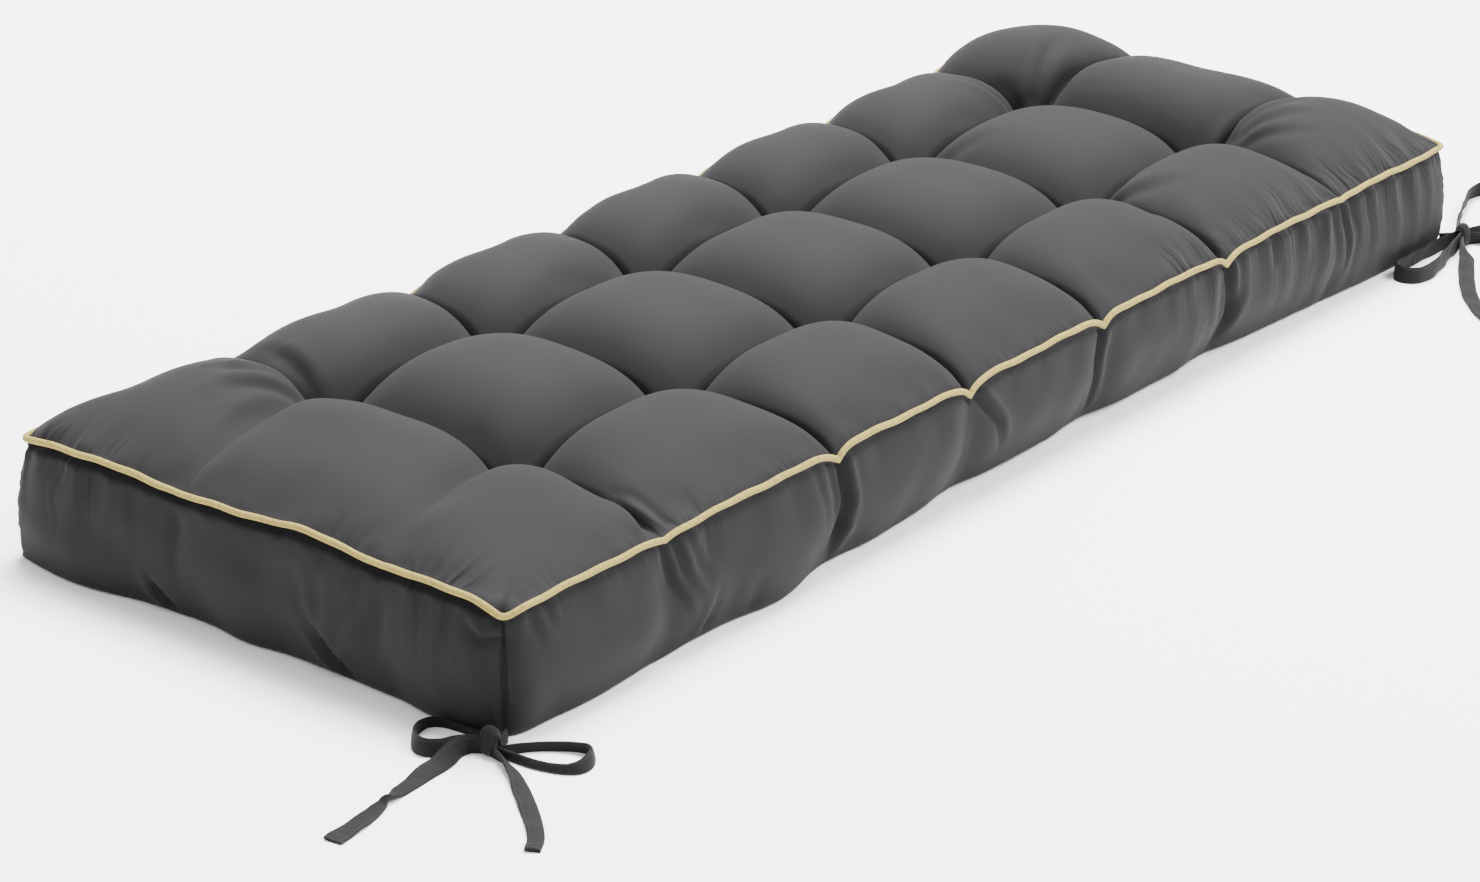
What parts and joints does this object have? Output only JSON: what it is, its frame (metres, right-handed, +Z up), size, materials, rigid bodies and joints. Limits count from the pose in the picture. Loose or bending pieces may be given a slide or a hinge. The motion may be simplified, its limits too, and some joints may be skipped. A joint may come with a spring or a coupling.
{
  "type": "bench cushion",
  "caption": "Long tufted box cushion for a bench, with contrast piping round the top seam and cloth tape ties in bows at its front corners.",
  "frame": {"origin": "on the floor under the middle of the cushion", "axes": "+X along its length, +Y from its front long side (the one with the ties) to its back, +Z up"},
  "size_m": [1.6342, 0.6319, 0.1525],
  "materials": {
    "cover": "matt plain-woven polyester, charcoal grey",
    "piping": "cloth-covered cord, cream",
    "tape": "folded and stitched cloth tape, charcoal grey"
  },
  "bodies": {
    "root": {"cushion": "cover", "piping": "piping", "near_knot": "tape", "near_stub": "tape", "near_loop_back": "tape", "near_loop_front": "tape", "near_tail_long": "tape", "near_tail_short": "tape", "far_knot": "tape", "far_stub": "tape", "far_loop_back": "tape", "far_loop_front": "tape", "far_tail_long": "tape", "far_tail_short": "tape"}
  },
  "joints": []
}
